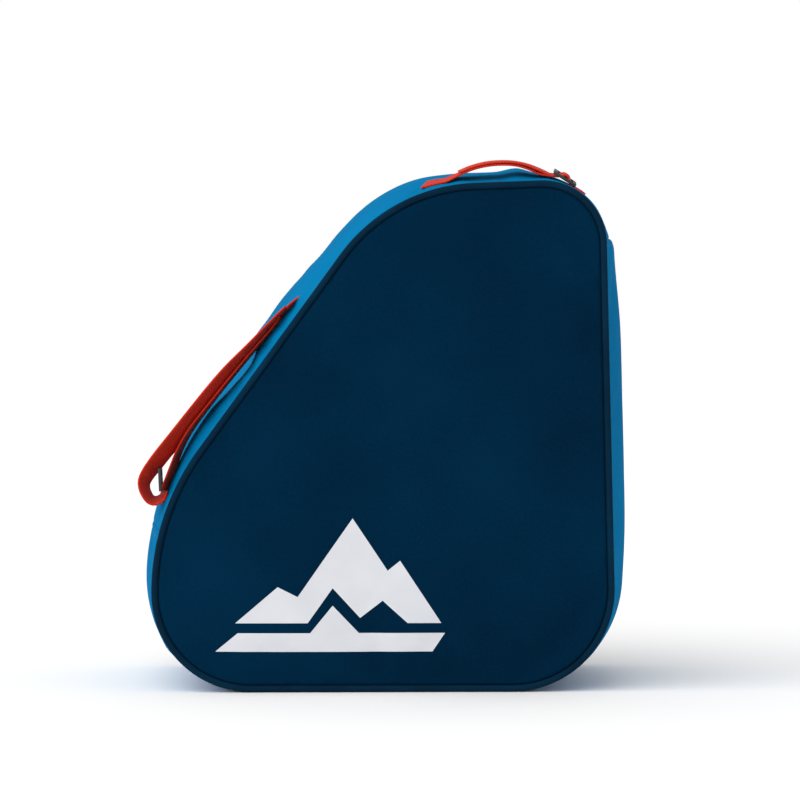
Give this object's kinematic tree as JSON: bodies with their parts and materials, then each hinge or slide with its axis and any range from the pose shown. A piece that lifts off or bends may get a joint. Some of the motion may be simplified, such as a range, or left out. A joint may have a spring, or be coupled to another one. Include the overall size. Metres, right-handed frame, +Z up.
{
  "type": "ski boot bag",
  "caption": "Stand-up ski boot bag with one slanted side, a zipped back flap, an adjustable webbing top handle and a webbing side strap.",
  "frame": {"origin": "middle of the flat underside, on the surface that the bag stands on", "axes": "+X to the right of the printed front panel, so the slanted side is at -X; +Y to the back flap; +Z up"},
  "size_m": [0.3947, 0.2414, 0.4274],
  "materials": {
    "navy_fabric": "matt plain-woven coated polyester, navy",
    "navy_piping": "woven piping over a cord core, navy",
    "blue_fabric": "matt plain-woven coated polyester, bright blue",
    "silver_print": "satin silver-white screen print",
    "red_webbing": "flat woven polypropylene webbing, orange-red",
    "black_binding": "woven binding tape, black",
    "zip_tape": "knitted zip tape, navy",
    "zip_coil": "moulded coil, black",
    "board": "grained polyethylene board, dark grey",
    "black_plastic": "moulded acetal, black, fine texture",
    "dark_metal": "die-cast zinc, gunmetal plated"
  },
  "bodies": {
    "shell": {"front_panel": "navy_fabric", "front_piping": "navy_piping", "front_seam_binding": "black_binding", "front_print_range": "silver_print", "front_print_foothill": "silver_print", "lower_gusset": "blue_fabric", "base_board": "board", "zip_gusset_front": "blue_fabric", "zip_tape_front": "zip_tape", "zip_coil_front": "zip_coil", "zip_tab_left": "black_binding", "zip_tab_right": "black_binding", "back_panel": "navy_fabric", "back_piping": "navy_piping", "back_seam_binding": "black_binding", "handle_end_left": "red_webbing", "handle_end_right": "red_webbing", "side_strap_end": "red_webbing"},
    "back_flap": {"flap_panel": "navy_fabric", "flap_piping": "navy_piping", "flap_seam_binding": "black_binding", "flap_gusset": "blue_fabric", "zip_tape_flap": "zip_tape", "zip_coil_flap": "zip_coil"},
    "handle": {"handle_webbing": "red_webbing", "handle_tail": "red_webbing", "handle_adjuster": "black_plastic"},
    "side_strap": {"side_strap_outer": "red_webbing", "side_strap_inner": "red_webbing", "side_strap_adjuster": "black_plastic"},
    "slider_lower": {"zip_slider_lower": "dark_metal"},
    "pull_lower": {"zip_pull_lower": "dark_metal"},
    "slider_upper": {"zip_slider_upper": "dark_metal"},
    "pull_upper": {"zip_pull_upper": "dark_metal"}
  },
  "joints": [
    {"name": "back_flap_hinge", "type": "hinge", "parent": "shell", "child": "back_flap", "pos_m": [-0.18109, 0.1212, 0.12911], "axis": [-0.8376, 0, -0.5463], "range_deg": [0, 110]},
    {"name": "handle_swing", "type": "hinge", "parent": "shell", "child": "handle", "pos_m": [0.097, -0.1105, 0.41], "axis": [1, 0, 0], "range_deg": [0, 70]},
    {"name": "side_strap_swing", "type": "hinge", "parent": "shell", "child": "side_strap", "pos_m": [-0.07615, -0.095, 0.31055], "axis": [0, 1, 0], "range_deg": [0, 45]},
    {"name": "slider_lower_slide", "type": "slide", "parent": "shell", "child": "slider_lower", "axis": [-0.589, 0, -0.8082], "range_m": [0, 0.018]},
    {"name": "pull_lower_hinge", "type": "hinge", "parent": "slider_lower", "child": "pull_lower", "pos_m": [-0.16003, 0.00815, 0.21144], "axis": [0, 1, 0], "range_deg": [0, 140]},
    {"name": "slider_upper_slide", "type": "slide", "parent": "shell", "child": "slider_upper", "axis": [0.5845, 0, 0.8114], "range_m": [0, 0.11]},
    {"name": "pull_upper_hinge", "type": "hinge", "parent": "slider_upper", "child": "pull_upper", "pos_m": [-0.14374, 0.00815, 0.23545], "axis": [0, 1, 0], "range_deg": [0, 150]}
  ]
}
